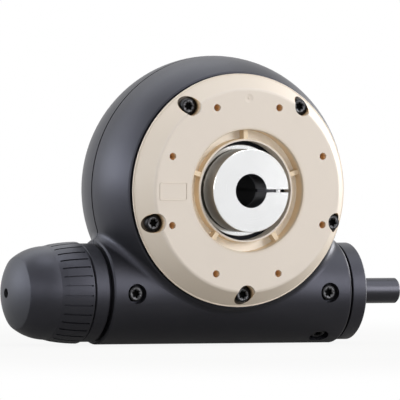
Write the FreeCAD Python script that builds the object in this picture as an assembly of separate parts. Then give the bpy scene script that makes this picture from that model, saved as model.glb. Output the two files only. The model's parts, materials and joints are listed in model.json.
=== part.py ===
"""A dry-running worm gear reducer: a drum housing in two shells, a bearing flange on the front,
a clamp hub for the output shaft, and a worm across the bottom with a shaft stub at one end and a
grip knob at the other.

Millimetres. The origin is the centre of the flange's front face, on the output axis. +X runs along
the worm to the shaft stub, +Y runs into the housing, +Z is up.
"""

import FreeCAD, Part
import math
import os

V = FreeCAD.Vector

# Gear pair: a single-start right-hand worm and a helical wheel
MODULE = 2.0
WORM_QUOTIENT = 10.4
WHEEL_TEETH = 38
PRESSURE_ANGLE = 20.0
FLANK_CLEARANCE = 0.10
TIP_CLEARANCE = 0.4
WHEEL_WIDTH = 18.0
WORM_HALF_LENGTH = 20.0

# Worm axis: parallel to X, in the plane where the shells part
WORM_Y = 38.5
CENTRE_DISTANCE = MODULE * (WHEEL_TEETH + WORM_QUOTIENT) / 2
WORM_Z = -CENTRE_DISTANCE

# Housing shells
DRUM_R = 62.8
RIM_R = 55.4
FRONT_Y = 12.3
BACK_R = 55.9
BACK_Y = 65.0
RIM_CHAMFER = 0.25
BACK_CHAMFER = 1.2
TUBE_R = 24.4
TUBE_LEFT = -61.6
TUBE_RIGHT = 61.8
TUBE_LEFT_EDGE_R = 1.0
TUBE_RIGHT_EDGE_R = 1.7
BLEND_R = 3.5
END_FACE_R = 32.0
PARTING_WIDTH = 1.0
PARTING_DEPTH = 0.8
WALL = 4.0
BOSS_R = 4.8
CHAMBER_FRONT_Y = WORM_Y - 11.0
FRONT_SEAT_R = 35.5
BACK_SEAT_R = 33.5
FLANGE_PAD_R = 52.0
RIM_GAP_R = 54.95
RIM_GAP_Y = 14.0

# Bearing flange
FACE_R = 47.5
FACE_EDGE_R = 1.6
CONE_R = 54.1
LIP_Y = 9.9
LIP_EDGE_R = 0.25
FLANGE_R = 54.7
FLANGE_BACK_Y = 10.5
GROOVE_R = 28.6
GROOVE_DEPTH = 7.6
GROOVE_EDGE_R = 0.5
COLLAR_R = 24.4
COLLAR_Y = 2.4
COLLAR_EDGE_R = 0.3
JOURNAL_BORE_R = 23.35
SPIGOT_R = 31.4
SPIGOT_SEAT_R = 31.45
SPIGOT_END_Y = WORM_Y - 9.3
RIB_WIDTH = 2.2
RIB_DROP = 0.3
RIB_ROOT = 0.6
RIB_ANGLES = (90.0, 18.0, -54.0, -126.0, 162.0)
MOUNT_PCD = 84.0
MOUNT_HOLES = 8
MOUNT_HOLE_R = 1.7
MOUNT_HOLE_DEPTH = 9.0
FLANGE_SCREW_PCD = 97.5
FLANGE_SCREW_ANGLES = (-90.0, -18.0, 54.0, 126.0, 198.0)
FLANGE_SEAT_Y = 7.6
FLANGE_SCREW_END_Y = 23.0
BOTTOM_SCREW_END_Y = 19.5
FLANGE_POCKET_R = 4.5
GATE_X = 0.3
GATE_Z = 43.2
GATE_R = 2.2
GATE_DEPTH = 0.35
GATE_NUB_R = 0.55

# Screws
SCREW_R = 1.95
SCREW_HOLE_R = 2.0
SCREW_CLEARANCE_R = 2.25
SCREW_HEAD_R = 3.5
SCREW_HEAD_HEIGHT = 3.0
SCREW_SOCKET_R = 1.6
SCREW_SOCKET_DEPTH = 1.6
SCREW_HEAD_CHAMFER = 0.5
SCREW_TIP_CHAMFER = 0.6

# Wheel journals and hub
JOURNAL_R = 23.3
HUB_BODY_R = 21.5
JOURNAL_FRONT_Y = 9.6
JOURNAL_BACK_Y = 63.4
WEB_FRONT_Y = 52.0
WEB_BACK_Y = 56.0
WEB_BORE_R = 10.0
NOSE_R = 19.5
NOSE_FRONT_Y = -3.6
NOSE_BACK_Y = 7.4
NECK_R = 18.2
HUB_SHOULDER_Y = 8.9
BORE_R = 8.0
BORE_END_Y = 8.7
RELIEF_R = 9.0
SLIT = 1.5
HUB_CHAMFER = 0.3
HUB_SCREW_R = 15.0
HUB_SCREWS = 5
HUB_SCREW_END_Y = 40.0
CLAMP_X = 15.4
CLAMP_Y = 0.3
CLAMP_SCREW_R = 1.45
CLAMP_HOLE_R = 1.5
CLAMP_CLEARANCE_R = 1.7
CLAMP_HEAD_R = 2.75
CLAMP_HEAD_HEIGHT = 3.0
CLAMP_SOCKET_R = 1.4
CLAMP_SEAT_Z = 4.0
CLAMP_POCKET_R = 2.95
CLAMP_SCREW_END_Z = -8.0

# Rear bush
REAR_BUSH_R = 27.6
REAR_BUSH_FLANGE_R = 32.6
REAR_BUSH_FLANGE_Y = WORM_Y + 9.3
CHAMBER_BACK_Y = WORM_Y + 11.3
REAR_BUSH_END_Y = 64.2
REAR_BUSH_CHAMFER = 0.6

# Worm shaft and its bearings
SHAFT_R = 6.0
SHAFT_END = 96.2
STUB_START = 70.6
SHAFT_LEFT_END = -97.0
SHAFT_CHAMFER = 0.8
STUB_GROOVE = 0.3
SHOULDER_R = 7.2
SHOULDER_X = 30.0
KNOB_FLAT = 4.8
WASHER_R = 10.5
WASHER_BORE_R = 6.02
WASHER_THICK = 1.6
BUSH_FLANGE_R = 11.0
BUSH_FLANGE_X = 31.8
CARRIER_X = 33.8
BUSH_R = 8.0
BUSH_END_X = 45.8
BUSH_BORE_R = 6.03
CARRIER_BORE_R = 17.0
CARRIER_R = 16.98
CARRIER_CORE_R = 12.0
CARRIER_WALL_R = 21.0
SEAL_BORE_R = 6.6
LEFT_RING_R = 23.1
LEFT_RING_START = -63.4
LEFT_RING_END = -70.3
RIGHT_RING_R = 22.9
RIGHT_RING_START = 62.9
RIGHT_RING_END = 70.0
RING_NECK_R = 20.5
RING_CHAMFER = 0.5
RING_EDGE = 0.2
CHAMBER_R = 14.0
CARRIER_SCREW_X = 50.0
CARRIER_SCREW_SEAT = 20.0
CARRIER_POCKET_R = 4.7
CARRIER_SCREW_TIP = 12.6
LOWER_SCREW_ANGLE = 60.0

# Housing screws, driven from the back
DRUM_SCREW_R = 52.5
DRUM_SCREW_ANGLES = (90.0, 31.0, 149.0, -28.0, 208.0)
DRUM_SCREW_SEAT_Y = 56.0
DRUM_SCREW_TIP_Y = 26.0
TUBE_SCREW_X = 45.0
TUBE_SCREW_Z = WORM_Z - 20.6
TUBE_SCREW_SEAT_Y = WORM_Y + 9.0
TUBE_SCREW_TIP_Y = WORM_Y - 6.0
BACK_POCKET_R = 4.2

# Grip knob
KNOB_RIM_X = -71.0
KNOB_RIM_R = 23.88
KNOB_RIM_EDGE_R = 0.5
KNOB_GRIP_MID = (-78.0, 23.5)
KNOB_GRIP_END = (-83.6, 22.78)
KNOB_STEP_END = (-87.2, 21.92)
KNOB_FLANK_MID = (-95.5, 20.2)
KNOB_SHOULDER_X = -101.2
KNOB_SHOULDER_R = 17.0
KNOB_SHOULDER_EDGE_R = 0.9
KNOB_APEX_X = -106.4
KNOB_HOLE_R = 2.3
KNOB_CUP_R = 18.6
KNOB_CUP_X = -88.0
KNOB_BOSS_R = 10.5
KNOB_GROOVES = 32
KNOB_GROOVE_WIDTH = 0.8
KNOB_GROOVE_DEPTH = 0.7
KNOB_GROOVE_START = -72.1
KNOB_GROOVE_END = -85.8
KNOB_GROOVE_PHASE = 0.16


def along_y(radius, y0, y1, x=0.0, z=0.0):
    """A cylinder parallel to the output axis."""
    return Part.makeCylinder(radius, y1 - y0, V(x, y0, z), V(0, 1, 0))


def along_x(radius, x0, x1):
    """A cylinder on the worm axis."""
    low, high = min(x0, x1), max(x0, x1)
    return Part.makeCylinder(radius, high - low, V(low, WORM_Y, WORM_Z), V(1, 0, 0))


def polar(radius, angle):
    """The x and z of a point at an angle from +X towards +Z."""
    turn = math.radians(angle)
    return radius * math.cos(turn), radius * math.sin(turn)


def turned_on_y(points):
    """A solid of revolution about the output axis from (radius, y) corners."""
    outline = Part.makePolygon([V(r, y, 0) for r, y in points + points[:1]])
    return Part.Face(outline).revolve(V(0, 0, 0), V(0, 1, 0), 360)


def turned_on_x(points):
    """A solid of revolution about the worm axis from (x, radius) corners."""
    outline = Part.makePolygon([V(x, WORM_Y, WORM_Z + r) for x, r in points + points[:1]])
    return Part.Face(outline).revolve(V(0, WORM_Y, WORM_Z), V(1, 0, 0), 360)


def about_worm(shape, angle):
    """The shape turned about the worm axis: from the front (-Y) down towards -Z."""
    turned = shape.copy()
    turned.rotate(V(0, WORM_Y, WORM_Z), V(1, 0, 0), angle)
    return turned


def one_solid(shape):
    """The single solid of a boolean result, with its split faces joined."""
    solids = shape.removeSplitter().Solids
    if len(solids) != 1:
        raise ValueError("expected one solid, found %d" % len(solids))
    return solids[0]


def cut_in_turn(shape, tools):
    """The shape less each tool, one after another."""
    for tool in tools:
        shape = shape.cut(tool)
    return shape


def circles(shape, radius, axis, place):
    """Circular edges of one radius in the plane where the axis coordinate has one value."""
    found = []
    for edge in shape.Edges:
        box = edge.BoundBox
        low, high = getattr(box, axis + "Min"), getattr(box, axis + "Max")
        flat = abs(low - place) < 1e-4 and abs(high - place) < 1e-4
        if flat and isinstance(edge.Curve, Part.Circle) and abs(edge.Curve.Radius - radius) < 1e-4:
            found.append(edge)
    return found


def screw(seat, tip, radius=SCREW_R, head_r=SCREW_HEAD_R, head_height=SCREW_HEAD_HEIGHT,
          socket_r=SCREW_SOCKET_R):
    """A cap screw on the local Z axis: the head rises from z = seat and the shank ends at z = tip."""
    head = Part.makeCylinder(head_r, head_height, V(0, 0, seat))
    head = head.makeChamfer(SCREW_HEAD_CHAMFER, circles(head, head_r, "Z", seat + head_height))
    corners = [polar(socket_r, 60.0 * i) for i in range(7)]
    hexagon = Part.makePolygon([V(x, y, seat + head_height) for x, y in corners])
    socket = Part.Face(hexagon).extrude(V(0, 0, -SCREW_SOCKET_DEPTH))
    shank = Part.makeCylinder(radius, seat - tip, V(0, 0, tip))
    shank = shank.makeChamfer(SCREW_TIP_CHAMFER, circles(shank, radius, "Z", tip))
    return one_solid(head.cut(socket).fuse(shank))


def screw_from_front(seat_y, tip_y, x, z):
    """A screw whose head faces the front."""
    piece = screw(-seat_y, -tip_y)
    piece.rotate(V(0, 0, 0), V(1, 0, 0), 90)
    piece.translate(V(x, 0, z))
    return piece


def screw_from_back(seat_y, tip_y, x, z):
    """A screw whose head faces the back."""
    piece = screw(seat_y, tip_y)
    piece.rotate(V(0, 0, 0), V(1, 0, 0), -90)
    piece.translate(V(x, 0, z))
    return piece


def drum_bow(rim_r, depth):
    """The radius of the arc that carries the drum's outline from its widest plane to a rim."""
    drop = DRUM_R - rim_r
    return (depth * depth + drop * drop) / (2 * drop)


def drum_radius(offset, bow, inset=0.0):
    """The drum's outline at an offset from its widest plane, or the wall's inner face at an inset."""
    return DRUM_R - bow + math.sqrt((bow - inset) ** 2 - offset ** 2)


def drum_solid(corners, bow, y0, y1, inset=0.0):
    """A solid of revolution whose outer side follows the drum from y0 to y1."""
    sides = [V(drum_radius(y - WORM_Y, bow, inset), y, 0) for y in (y0, (y0 + y1) / 2, y1)]
    path = [V(r, y, 0) for r, y in corners]
    edges = [Part.makeLine(a, b) for a, b in zip(path, path[1:])]
    edges.append(Part.makeLine(path[-1], sides[0]))
    edges.append(Part.Arc(*sides).toShape())
    edges.append(Part.makeLine(sides[2], path[0]))
    return Part.Face(Part.Wire(edges)).revolve(V(0, 0, 0), V(0, 1, 0), 360)


def edge_chamfer(size, rim_r, y, inward):
    """The ring to take off a drum edge at y; inward is +1 where the drum lies towards +Y."""
    run = 3 * size
    outside = DRUM_R + 10
    return turned_on_y([
        (rim_r - size - 1, y - inward), (rim_r - size + run, y + inward * run),
        (outside, y + inward * run), (outside, y - inward),
    ])


def outer_body(rim_r, rim_y, face):
    """The drum and the worm tube in one, blended; the face is the drum's front from axis to rim."""
    depth = abs(WORM_Y - rim_y)
    low, high = WORM_Y - depth, WORM_Y + depth
    drum = drum_solid([(0, high)] + face, drum_bow(rim_r, depth), low, high)
    body = drum.fuse(along_x(TUBE_R, -100, 100)).Solids[0]
    joints = [edge for edge in body.Edges if isinstance(edge.Curve, Part.BSplineCurve)]
    body = body.makeFillet(BLEND_R, joints)
    return body.cut([
        along_x(END_FACE_R, -130, TUBE_LEFT), along_x(END_FACE_R, TUBE_RIGHT, 130), parting_groove(),
    ])


def parting_groove():
    """A shallow groove round the drum where the shells meet, clear of the tube."""
    y0, y1 = WORM_Y - PARTING_WIDTH / 2, WORM_Y + PARTING_WIDTH / 2
    ring = along_y(DRUM_R + 1, y0, y1).cut(along_y(DRUM_R - PARTING_DEPTH, y0, y1))
    return ring.cut(along_x(TUBE_R + BLEND_R, -100, 100))


def housing_cavity(y_wall, y_chamber, seat_r, bow, extra_bosses):
    """The hollow of one shell, leaving the bearing seat, the carrier rings and the screw bosses."""
    corners = [(0, WORM_Y), (0, y_chamber), (seat_r, y_chamber), (seat_r, y_wall)]
    hollow = drum_solid(corners, bow, y_wall, WORM_Y, WALL)
    kept = [along_x(CARRIER_WALL_R, side * (CARRIER_X - 2.5), side * 100) for side in (-1, 1)]
    kept += [along_y(BOSS_R, 0, 80, x, z) for x, z in drum_screw_places()]
    return cut_in_turn(hollow, kept + extra_bosses)


def worm_space():
    """The hollow along the worm axis: the worm's chamber and both carrier bores."""
    step = CARRIER_X - 0.5
    chamber = along_x(CHAMBER_R, -step, step)
    bores = [along_x(CARRIER_BORE_R, side * step, side * 110) for side in (-1, 1)]
    return chamber.fuse(bores)


def carrier_screw_cut(x, angle):
    """The pocket and clearance hole of a radial carrier screw through the tube wall."""
    z = WORM_Z
    pocket = along_y(CARRIER_POCKET_R, WORM_Y - 40, WORM_Y - CARRIER_SCREW_SEAT, x, z)
    hole = along_y(SCREW_CLEARANCE_R, WORM_Y - CARRIER_SCREW_SEAT - 1, WORM_Y - 15, x, z)
    return about_worm(pocket.fuse(hole), angle)


def carrier_screw(x, angle):
    tip = WORM_Y - CARRIER_SCREW_TIP
    piece = screw_from_front(WORM_Y - CARRIER_SCREW_SEAT, tip, x, WORM_Z)
    return about_worm(piece, angle)


def drum_screw_places():
    return [polar(DRUM_SCREW_R, angle) for angle in DRUM_SCREW_ANGLES]


def tube_screw_places():
    return [(side * TUBE_SCREW_X, TUBE_SCREW_Z) for side in (-1, 1)]


def housing_half(rim_r, rim_y, chamfer, face):
    """One shell's outside: from the parting plane to its rim, with the edges finished."""
    inward = 1 if rim_y < WORM_Y else -1
    low = min(rim_y, WORM_Y) if inward < 0 else rim_y - 20
    slab = Part.makeBox(400, abs(WORM_Y - rim_y) + 20, 400, V(-200, low, -200))
    edge = edge_chamfer(chamfer, rim_r, rim_y, inward).cut(along_x(TUBE_R + 0.02, -100, 100))
    half = one_solid(outer_body(rim_r, rim_y, face).common(slab).cut(edge))
    half = half.makeFillet(TUBE_LEFT_EDGE_R, circles(half, TUBE_R, "X", TUBE_LEFT))
    return half.makeFillet(TUBE_RIGHT_EDGE_R, circles(half, TUBE_R, "X", TUBE_RIGHT))


def flange_screw_end(angle):
    """Where a flange screw's tip stops: sooner at the bottom, in front of the worm."""
    return BOTTOM_SCREW_END_Y if angle == -90.0 else FLANGE_SCREW_END_Y


def front_housing():
    face = [
        (0, FLANGE_BACK_Y), (FLANGE_PAD_R, FLANGE_BACK_Y), (FLANGE_PAD_R, RIM_GAP_Y),
        (RIM_GAP_R, RIM_GAP_Y), (RIM_GAP_R, FRONT_Y),
    ]
    half = housing_half(RIM_R, FRONT_Y, RIM_CHAMFER, face)
    flange_places = [(angle, polar(FLANGE_SCREW_PCD / 2, angle)) for angle in FLANGE_SCREW_ANGLES]
    bosses = [along_y(BOSS_R, 0, flange_screw_end(a) + 3, x, z) for a, (x, z) in flange_places]
    bow = drum_bow(RIM_R, WORM_Y - FRONT_Y)
    cuts = [
        housing_cavity(FRONT_Y + WALL, CHAMBER_FRONT_Y, FRONT_SEAT_R, bow, bosses),
        worm_space(),
        along_y(SPIGOT_SEAT_R, 0, WORM_Y),
        carrier_screw_cut(-CARRIER_SCREW_X, 0),
        carrier_screw_cut(CARRIER_SCREW_X, 0),
        carrier_screw_cut(CARRIER_SCREW_X, LOWER_SCREW_ANGLE),
    ]
    cuts += [along_y(SCREW_HOLE_R, 0, flange_screw_end(a) + 1, x, z) for a, (x, z) in flange_places]
    cuts += [along_y(SCREW_HOLE_R, DRUM_SCREW_TIP_Y - 1, WORM_Y + 1, x, z) for x, z in drum_screw_places()]
    cuts += [along_y(SCREW_HOLE_R, TUBE_SCREW_TIP_Y - 1, WORM_Y + 1, x, z) for x, z in tube_screw_places()]
    return one_solid(cut_in_turn(half, cuts))


def rear_housing():
    half = housing_half(BACK_R, BACK_Y, BACK_CHAMFER, [(0, 2 * WORM_Y - BACK_Y)])
    bow = drum_bow(BACK_R, BACK_Y - WORM_Y)
    cuts = [
        housing_cavity(BACK_Y - WALL, CHAMBER_BACK_Y, BACK_SEAT_R, bow, []),
        worm_space(),
        along_y(REAR_BUSH_R, WORM_Y, 100),
    ]
    seats = [(DRUM_SCREW_SEAT_Y, place) for place in drum_screw_places()]
    seats += [(TUBE_SCREW_SEAT_Y, place) for place in tube_screw_places()]
    for seat_y, (x, z) in seats:
        cuts.append(along_y(SCREW_CLEARANCE_R, WORM_Y - 1, 80, x, z))
        cuts.append(along_y(BACK_POCKET_R, seat_y, 80, x, z))
    return one_solid(cut_in_turn(half, cuts))


def bearing_flange():
    body = turned_on_y([
        (JOURNAL_BORE_R, COLLAR_Y), (COLLAR_R, COLLAR_Y), (COLLAR_R, GROOVE_DEPTH),
        (GROOVE_R, GROOVE_DEPTH), (GROOVE_R, 0), (FACE_R, 0), (CONE_R, LIP_Y), (FLANGE_R, LIP_Y),
        (FLANGE_R, FLANGE_BACK_Y), (SPIGOT_R, FLANGE_BACK_Y), (SPIGOT_R, SPIGOT_END_Y),
        (JOURNAL_BORE_R, SPIGOT_END_Y),
    ])
    body = body.makeFillet(FACE_EDGE_R, circles(body, FACE_R, "Y", 0))
    body = body.makeFillet(LIP_EDGE_R, circles(body, FLANGE_R, "Y", LIP_Y))
    body = body.makeFillet(GROOVE_EDGE_R, circles(body, GROOVE_R, "Y", 0))
    body = body.makeFillet(COLLAR_EDGE_R, circles(body, COLLAR_R, "Y", COLLAR_Y))
    ribs = []
    for angle in RIB_ANGLES:
        rib = Part.makeBox(GROOVE_R - COLLAR_R + 2 * RIB_ROOT, GROOVE_DEPTH - COLLAR_Y, RIB_WIDTH,
                           V(COLLAR_R - RIB_ROOT, COLLAR_Y + RIB_DROP, -RIB_WIDTH / 2))
        rib.rotate(V(0, 0, 0), V(0, 1, 0), -angle)
        ribs.append(rib)
    body = one_solid(body.fuse(ribs))
    cuts = [gate_mark()]
    for i in range(MOUNT_HOLES):
        x, z = polar(MOUNT_PCD / 2, 360.0 / MOUNT_HOLES * (i + 0.5))
        cuts.append(along_y(MOUNT_HOLE_R, -1, MOUNT_HOLE_DEPTH, x, z))
    for angle in FLANGE_SCREW_ANGLES:
        x, z = polar(FLANGE_SCREW_PCD / 2, angle)
        cuts.append(along_y(FLANGE_POCKET_R, -1, FLANGE_SEAT_Y, x, z))
        cuts.append(along_y(SCREW_CLEARANCE_R, 0, 20, x, z))
    return one_solid(body.cut(cuts))


def gate_mark():
    """The shallow dish round the moulding gate's nub on the flange's face."""
    dish_r = (GATE_R ** 2 + GATE_DEPTH ** 2) / (2 * GATE_DEPTH)
    dish = Part.makeSphere(dish_r, V(GATE_X, GATE_DEPTH - dish_r, GATE_Z))
    return dish.cut(along_y(GATE_NUB_R, 0, GATE_DEPTH + 1, GATE_X, GATE_Z))


def flange_screws():
    pieces = []
    for angle in FLANGE_SCREW_ANGLES:
        x, z = polar(FLANGE_SCREW_PCD / 2, angle)
        pieces.append(screw_from_front(FLANGE_SEAT_Y, flange_screw_end(angle), x, z))
    return Part.makeCompound(pieces)


def housing_screws():
    pieces = [screw_from_back(DRUM_SCREW_SEAT_Y, DRUM_SCREW_TIP_Y, *p) for p in drum_screw_places()]
    pieces += [screw_from_back(TUBE_SCREW_SEAT_Y, TUBE_SCREW_TIP_Y, *p) for p in tube_screw_places()]
    return Part.makeCompound(pieces)


def rear_bearing_bush():
    c = REAR_BUSH_CHAMFER
    return turned_on_y([
        (JOURNAL_BORE_R, REAR_BUSH_FLANGE_Y), (REAR_BUSH_FLANGE_R, REAR_BUSH_FLANGE_Y),
        (REAR_BUSH_FLANGE_R, CHAMBER_BACK_Y), (REAR_BUSH_R, CHAMBER_BACK_Y),
        (REAR_BUSH_R, REAR_BUSH_END_Y - c), (REAR_BUSH_R - c, REAR_BUSH_END_Y),
        (JOURNAL_BORE_R + c, REAR_BUSH_END_Y), (JOURNAL_BORE_R, REAR_BUSH_END_Y - c),
    ])


def involute_angle(radius, base):
    slope = math.acos(base / radius)
    return math.tan(slope) - slope


def wheel_section(y):
    """The wheel's tooth outline in the plane at y, turned to follow the worm's lead there."""
    pitch_r = MODULE * WHEEL_TEETH / 2
    tip_r = pitch_r + MODULE
    root_r = pitch_r - MODULE - TIP_CLEARANCE
    base_r = pitch_r * math.cos(math.radians(PRESSURE_ANGLE))
    half_pitch = math.pi / (2 * WHEEL_TEETH) - FLANK_CLEARANCE / pitch_r
    lead = (y - WORM_Y) / WORM_QUOTIENT / pitch_r
    pitch_involute = involute_angle(pitch_r, base_r)

    def point(radius, angle):
        return V(radius * math.cos(angle), y, radius * math.sin(angle))

    def half_tooth(radius):
        return half_pitch + pitch_involute - involute_angle(max(radius, base_r), base_r)

    step = 2 * math.pi / WHEEL_TEETH
    radii = (root_r, (root_r + tip_r) / 2, tip_r)
    edges = []
    for i in range(WHEEL_TEETH):
        centre = -math.pi / 2 + (i + 0.5) * step - lead
        rising = [point(r, centre - half_tooth(r)) for r in radii]
        falling = [point(r, centre + half_tooth(r)) for r in reversed(radii)]
        following = point(root_r, centre + step - half_tooth(root_r))
        edges.append(Part.Arc(*rising).toShape())
        edges.append(Part.Arc(rising[2], point(tip_r, centre), falling[0]).toShape())
        edges.append(Part.Arc(*falling).toShape())
        edges.append(Part.Arc(falling[2], point(root_r, centre + step / 2), following).toShape())
    return Part.Wire(edges)


def worm_wheel():
    front, back = WORM_Y - WHEEL_WIDTH / 2, WORM_Y + WHEEL_WIDTH / 2
    gear = Part.makeLoft([wheel_section(front), wheel_section(back)], True, True)
    body = gear.fuse([along_y(JOURNAL_R, JOURNAL_FRONT_Y, front), along_y(JOURNAL_R, back, JOURNAL_BACK_Y)])
    cuts = [
        along_y(HUB_BODY_R, 0, WEB_FRONT_Y),
        along_y(WEB_BORE_R, 40, 70),
        along_y(HUB_BODY_R, WEB_BACK_Y, 70),
    ]
    for i in range(HUB_SCREWS):
        x, z = polar(HUB_SCREW_R, 90.0 + 360.0 / HUB_SCREWS * i)
        cuts.append(along_y(SCREW_CLEARANCE_R, WEB_FRONT_Y - 1, WEB_BACK_Y + 1, x, z))
    return one_solid(body.cut(cuts))


def output_hub():
    c = HUB_CHAMFER
    body = turned_on_y([
        (BORE_R, NOSE_FRONT_Y), (NOSE_R - c, NOSE_FRONT_Y), (NOSE_R, NOSE_FRONT_Y + c),
        (NOSE_R, NOSE_BACK_Y), (NECK_R, NOSE_BACK_Y), (NECK_R, HUB_SHOULDER_Y),
        (HUB_BODY_R - c, HUB_SHOULDER_Y), (HUB_BODY_R, HUB_SHOULDER_Y + c),
        (HUB_BODY_R, WEB_FRONT_Y), (RELIEF_R, WEB_FRONT_Y), (RELIEF_R, BORE_END_Y),
        (BORE_R, BORE_END_Y),
    ])
    half_chord = NOSE_R + 5
    cuts = [
        Part.makeBox(NOSE_R + 10, BORE_END_Y - NOSE_FRONT_Y + 1, SLIT, V(0, NOSE_FRONT_Y - 1, -SLIT / 2)),
        Part.makeCylinder(CLAMP_CLEARANCE_R, half_chord, V(CLAMP_X, CLAMP_Y, 0)),
        Part.makeCylinder(CLAMP_POCKET_R, half_chord, V(CLAMP_X, CLAMP_Y, CLAMP_SEAT_Z)),
        Part.makeCylinder(CLAMP_HOLE_R, half_chord, V(CLAMP_X, CLAMP_Y, -half_chord)),
    ]
    for i in range(HUB_SCREWS):
        x, z = polar(HUB_SCREW_R, 90.0 + 360.0 / HUB_SCREWS * i)
        cuts.append(along_y(SCREW_HOLE_R, HUB_SCREW_END_Y - 1, WEB_FRONT_Y + 1, x, z))
    return one_solid(body.cut(cuts))


def clamp_screw():
    piece = screw(CLAMP_SEAT_Z, CLAMP_SCREW_END_Z, CLAMP_SCREW_R, CLAMP_HEAD_R, CLAMP_HEAD_HEIGHT,
                  CLAMP_SOCKET_R)
    piece.translate(V(CLAMP_X, CLAMP_Y, 0))
    return piece


def hub_screws():
    places = [polar(HUB_SCREW_R, 90.0 + 360.0 / HUB_SCREWS * i) for i in range(HUB_SCREWS)]
    return Part.makeCompound([screw_from_back(WEB_BACK_Y, HUB_SCREW_END_Y, *p) for p in places])


def worm_thread():
    """The worm's thread: a trapezoid in the axial plane carried along a right-hand helix."""
    pitch = math.pi * MODULE
    pitch_r = MODULE * WORM_QUOTIENT / 2
    slope = math.tan(math.radians(PRESSURE_ANGLE))
    turns = math.ceil(2 * WORM_HALF_LENGTH / pitch) + 1
    height = turns * pitch
    bottom_r = pitch_r - MODULE - TIP_CLEARANCE - 0.5
    top_r = pitch_r + MODULE

    def half_width(radius):
        return pitch / 4 - FLANK_CLEARANCE - (radius - pitch_r) * slope

    low, high = half_width(bottom_r), half_width(top_r)
    corners = [(bottom_r, -low), (top_r, -high), (top_r, high), (bottom_r, low), (bottom_r, -low)]
    outline = Part.makePolygon([V(r, 0, z) for r, z in corners])
    spine = Part.Wire(Part.makeHelix(pitch, height, pitch_r).Edges)
    thread = spine.makePipeShell([outline], True, True)
    thread.translate(V(0, 0, -height / 2))
    thread.rotate(V(0, 0, 0), V(0, 0, 1), 180.0 * turns)
    thread.rotate(V(0, 0, 0), V(0, 1, 0), 90)
    thread.rotate(V(0, 0, 0), V(1, 0, 0), 180)
    thread.translate(V(0, WORM_Y, WORM_Z))
    end = WORM_HALF_LENGTH
    span = Part.makeBox(2 * end, 60, 60, V(-end, WORM_Y - 30, WORM_Z - 30))
    bevels = []
    for side in (-1, 1):
        bevels.append(turned_on_x([
            (side * (end - 3.5), top_r + 0.4), (side * (end - 3.5), top_r + 2), (side * (end + 5), top_r + 2),
            (side * (end + 5), SHOULDER_R), (side * (end + 1), SHOULDER_R),
        ]))
    return thread.common(span).cut(bevels)


def worm_shaft():
    root_r = MODULE * WORM_QUOTIENT / 2 - MODULE - TIP_CLEARANCE
    c, g = SHAFT_CHAMFER, STUB_GROOVE
    core = turned_on_x([
        (SHAFT_LEFT_END, 0), (SHAFT_LEFT_END, SHAFT_R - c), (SHAFT_LEFT_END + c, SHAFT_R),
        (-SHOULDER_X, SHAFT_R), (-SHOULDER_X, SHOULDER_R), (-WORM_HALF_LENGTH - 1, SHOULDER_R),
        (-WORM_HALF_LENGTH - 1, root_r), (WORM_HALF_LENGTH + 1, root_r),
        (WORM_HALF_LENGTH + 1, SHOULDER_R), (SHOULDER_X, SHOULDER_R), (SHOULDER_X, SHAFT_R),
        (STUB_START - 4 * g, SHAFT_R), (STUB_START - 3 * g, SHAFT_R - g), (STUB_START - g, SHAFT_R - g),
        (STUB_START, SHAFT_R), (SHAFT_END - c, SHAFT_R), (SHAFT_END, SHAFT_R - c), (SHAFT_END, 0),
    ])
    body = core.fuse(worm_thread())
    return one_solid(body.cut(knob_flat()))


def knob_flat():
    """The block outside the flat on the shaft's knob end."""
    length = KNOB_RIM_X - SHAFT_LEFT_END
    side = 3 * SHAFT_R
    return Part.makeBox(length + 1, side, side, V(SHAFT_LEFT_END - 1, WORM_Y - side / 2, WORM_Z + KNOB_FLAT))


def thrust_washer(side):
    return along_x(WASHER_R, side * SHOULDER_X, side * (SHOULDER_X + WASHER_THICK)).cut(
        along_x(WASHER_BORE_R, side * 20, side * 50))


def worm_bush(side):
    return turned_on_x([
        (side * BUSH_FLANGE_X, BUSH_BORE_R), (side * BUSH_FLANGE_X, BUSH_FLANGE_R),
        (side * CARRIER_X, BUSH_FLANGE_R), (side * CARRIER_X, BUSH_R),
        (side * BUSH_END_X, BUSH_R), (side * BUSH_END_X, BUSH_BORE_R),
    ])


def bearing_carrier(side, tube_end, ring_start, ring_end, ring_r, screw_angles):
    """A carrier plugged into one tube end: a sleeve for the bush and a ring outside the tube."""
    wall = ring_end - side * 4.5
    c = RING_CHAMFER
    body = turned_on_x([
        (side * CARRIER_X, BUSH_R), (side * CARRIER_X, CARRIER_R), (tube_end, CARRIER_R),
        (tube_end, RING_NECK_R), (ring_start, RING_NECK_R), (ring_start, ring_r - RING_EDGE),
        (ring_start + side * RING_EDGE, ring_r), (ring_end - side * c, ring_r), (ring_end, ring_r - c),
        (ring_end, SEAL_BORE_R), (wall, SEAL_BORE_R), (wall, CARRIER_CORE_R),
        (side * BUSH_END_X, CARRIER_CORE_R), (side * BUSH_END_X, BUSH_R),
    ])
    cuts = []
    for angle in screw_angles:
        hole = along_y(SCREW_HOLE_R, WORM_Y - 20, WORM_Y - 5, side * CARRIER_SCREW_X, WORM_Z)
        cuts.append(about_worm(hole, angle))
    return one_solid(body.cut(cuts))


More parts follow.
